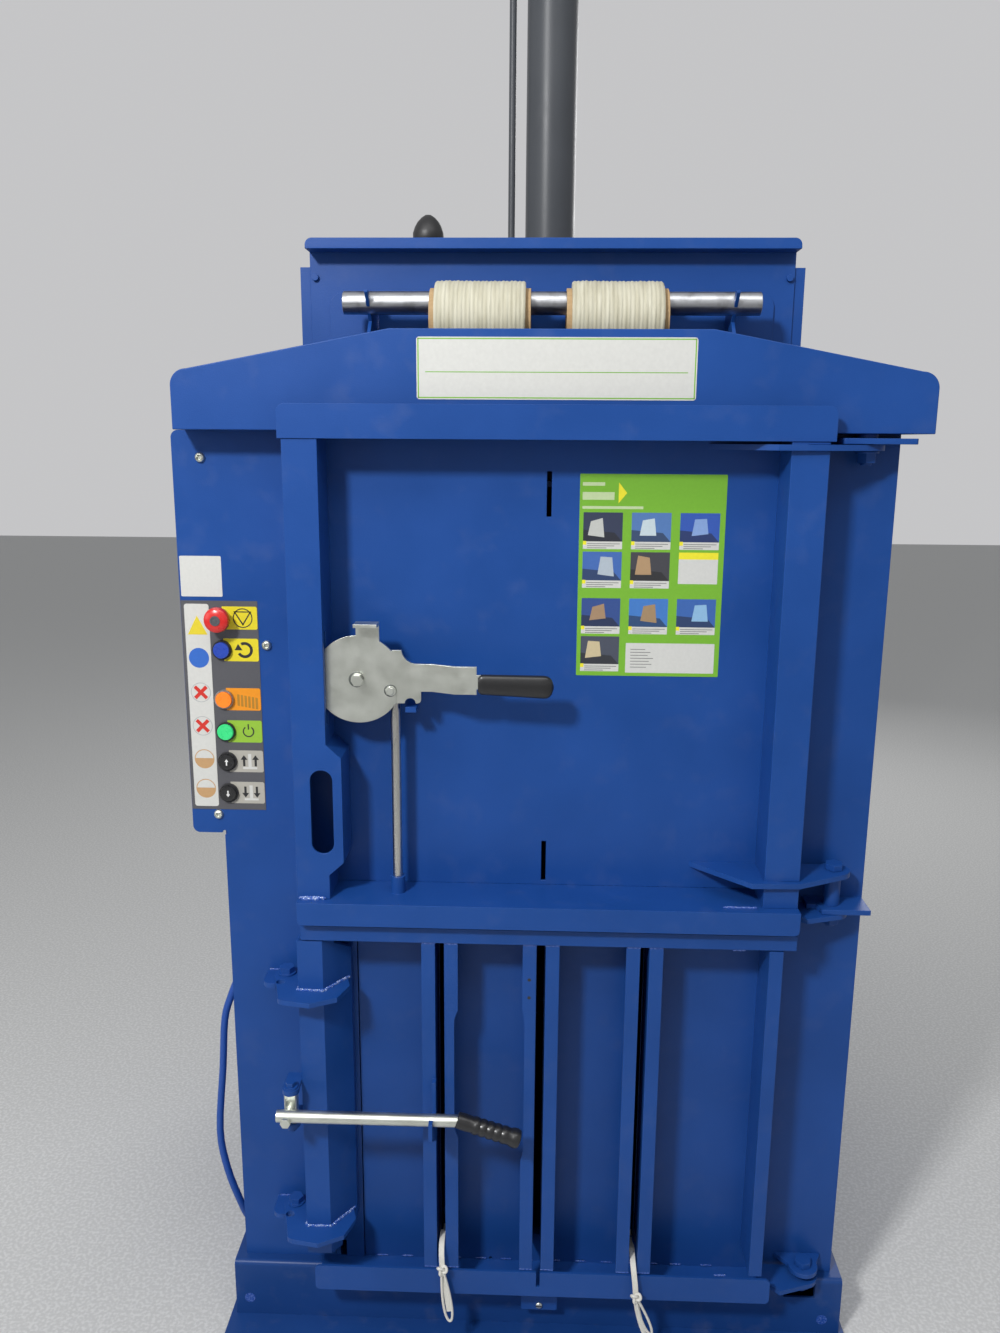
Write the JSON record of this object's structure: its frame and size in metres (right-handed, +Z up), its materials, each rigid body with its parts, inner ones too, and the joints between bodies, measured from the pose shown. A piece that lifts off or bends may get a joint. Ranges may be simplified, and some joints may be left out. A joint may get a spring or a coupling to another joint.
{
  "type": "recycling baler",
  "caption": "Upright baling press with a hinged feed door, a bale door held by a swinging lock column and lever, strap rolls behind the top beam, and a hydraulic ram",
  "frame": {"origin": "on the floor, under the middle of the machine body (middle of its width and depth)", "axes": "+X to the right seen from the front, +Y from the front to the back, +Z up"},
  "size_m": [1.1205, 1.1895, 2.35],
  "materials": {
    "blue_coat": "mid blue powder coat, slight orange peel",
    "grey_coat": "dark grey paint",
    "bare_steel": "drawn steel, lightly oiled",
    "zinc_plate": "zinc plated, slightly yellow",
    "bezel_metal": "satin metal",
    "core_card": "plain tan card tube",
    "strap": "woven polyester strap, ivory",
    "label_film": "dark grey film",
    "black_plastic": "black moulded plastic",
    "dipped_grip": "black dipped vinyl",
    "red_plastic": "red moulded plastic",
    "blue_plastic": "blue moulded plastic",
    "amber_plastic": "amber lens",
    "green_plastic": "green lens",
    "cable_sheath": "blue sheathed cable"
  },
  "bodies": {
    "machine": {"foot_plate": "blue_coat", "base_plinth": "blue_coat", "left_side_panel": "blue_coat", "right_side_panel": "blue_coat", "back_panel": "blue_coat", "left_front_plate": "blue_coat", "right_front_plate": "blue_coat", "chamber_walls": "blue_coat", "chamber_floor": "blue_coat", "frame_posts": "blue_coat", "top_beam": "blue_coat", "top_deck": "blue_coat", "press_beams": "blue_coat", "guard_panel": "blue_coat", "guard_frame": "blue_coat", "spool_bracket": "blue_coat", "spool_bar": "bare_steel", "roll_cores": "core_card", "left_strap_roll": "strap", "right_strap_roll": "strap", "cylinder_barrel": "grey_coat", "hydraulic_pipe": "grey_coat", "oil_tank": "grey_coat", "breather_cap": "black_plastic", "pump_motor": "grey_coat", "control_box": "blue_coat", "label_plate": "label_film", "cover_screws": "zinc_plate", "button_bezels": "bezel_metal", "hinge_brackets": "blue_coat", "hinge_bolts": "zinc_plate", "column_lugs": "blue_coat", "cable_gland": "black_plastic", "supply_cable": "cable_sheath", "cable_coil": "cable_sheath", "cable_plug": "black_plastic"},
    "press": {"ram": "bare_steel", "platen": "blue_coat"},
    "feed_door": {"feed_door_panel": "blue_coat", "feed_door_posts": "blue_coat", "feed_door_frame": "blue_coat", "feed_hinge_plates": "blue_coat", "latch_bolts": "zinc_plate"},
    "latch": {"latch_plate": "zinc_plate", "latch_grip": "dipped_grip"},
    "interlock": {"interlock_rod": "bare_steel"},
    "bale_door": {"bale_door_panel": "blue_coat", "bale_door_ribs": "blue_coat", "bale_door_rails": "blue_coat", "strap_tails": "strap"},
    "column": {"lock_column": "blue_coat"},
    "yoke": {"lever_yoke": "zinc_plate"},
    "lever": {"lever_bar": "zinc_plate", "lever_grip": "dipped_grip"},
    "stop_button": {"emergency_stop": "red_plastic"},
    "reset": {"reset_button": "blue_plastic"},
    "amber": {"amber_button": "amber_plastic"},
    "green": {"green_button": "green_plastic"},
    "up": {"up_button": "black_plastic"},
    "down": {"down_button": "black_plastic"}
  },
  "joints": [
    {"name": "press_stroke", "type": "slide", "parent": "machine", "child": "press", "axis": [0, 0, -1], "range_m": [0, 0.7]},
    {"name": "feed_door_hinge", "type": "hinge", "parent": "machine", "child": "feed_door", "pos_m": [0.445, -0.426, 0.9], "axis": [0, 0, 1], "range_deg": [0, 110]},
    {"name": "latch_turn", "type": "hinge", "parent": "feed_door", "child": "latch", "pos_m": [-0.273, -0.46, 1.15], "axis": [0, -1, 0], "range_deg": [0, 30]},
    {"name": "interlock_lift", "type": "slide", "parent": "feed_door", "child": "interlock", "axis": [0, 0, 1], "range_m": [0, 0.027]},
    {"name": "bale_door_hinge", "type": "hinge", "parent": "machine", "child": "bale_door", "pos_m": [0.445, -0.426, 0.5], "axis": [0, 0, 1], "range_deg": [0, 74]},
    {"name": "column_swing", "type": "hinge", "parent": "machine", "child": "column", "pos_m": [-0.403, -0.426, 0.4], "axis": [0, 0, -1], "range_deg": [0, 89]},
    {"name": "lever_swing", "type": "hinge", "parent": "column", "child": "yoke", "pos_m": [-0.386, -0.5, 0.473], "axis": [0, 0, -1], "range_deg": [0, 67]},
    {"name": "lever_lift", "type": "hinge", "parent": "yoke", "child": "lever", "pos_m": [-0.387, -0.525, 0.47], "axis": [0, -1, 0], "range_deg": [0, 60]},
    {"name": "emergency_stop_press", "type": "slide", "parent": "machine", "child": "stop_button", "axis": [0, 1, 0], "range_m": [0, 0.004], "stiffness_N_per_m": 800},
    {"name": "reset_press", "type": "slide", "parent": "machine", "child": "reset", "axis": [0, 1, 0], "range_m": [0, 0.004], "stiffness_N_per_m": 500},
    {"name": "amber_press", "type": "slide", "parent": "machine", "child": "amber", "axis": [0, 1, 0], "range_m": [0, 0.004], "stiffness_N_per_m": 500},
    {"name": "green_press", "type": "slide", "parent": "machine", "child": "green", "axis": [0, 1, 0], "range_m": [0, 0.004], "stiffness_N_per_m": 500},
    {"name": "up_press", "type": "slide", "parent": "machine", "child": "up", "axis": [0, 1, 0], "range_m": [0, 0.004], "stiffness_N_per_m": 500},
    {"name": "down_press", "type": "slide", "parent": "machine", "child": "down", "axis": [0, 1, 0], "range_m": [0, 0.004], "stiffness_N_per_m": 500}
  ],
  "couplings": [
    {"joint": "interlock_lift", "follows": "latch_turn", "m_per_rad": 0.05},
    {"joint": "column_swing", "follows": "bale_door_hinge", "ratio": 1.2},
    {"joint": "lever_swing", "follows": "bale_door_hinge", "ratio": 0.9},
    {"joint": "lever_lift", "follows": "bale_door_hinge", "ratio": 0.8}
  ]
}
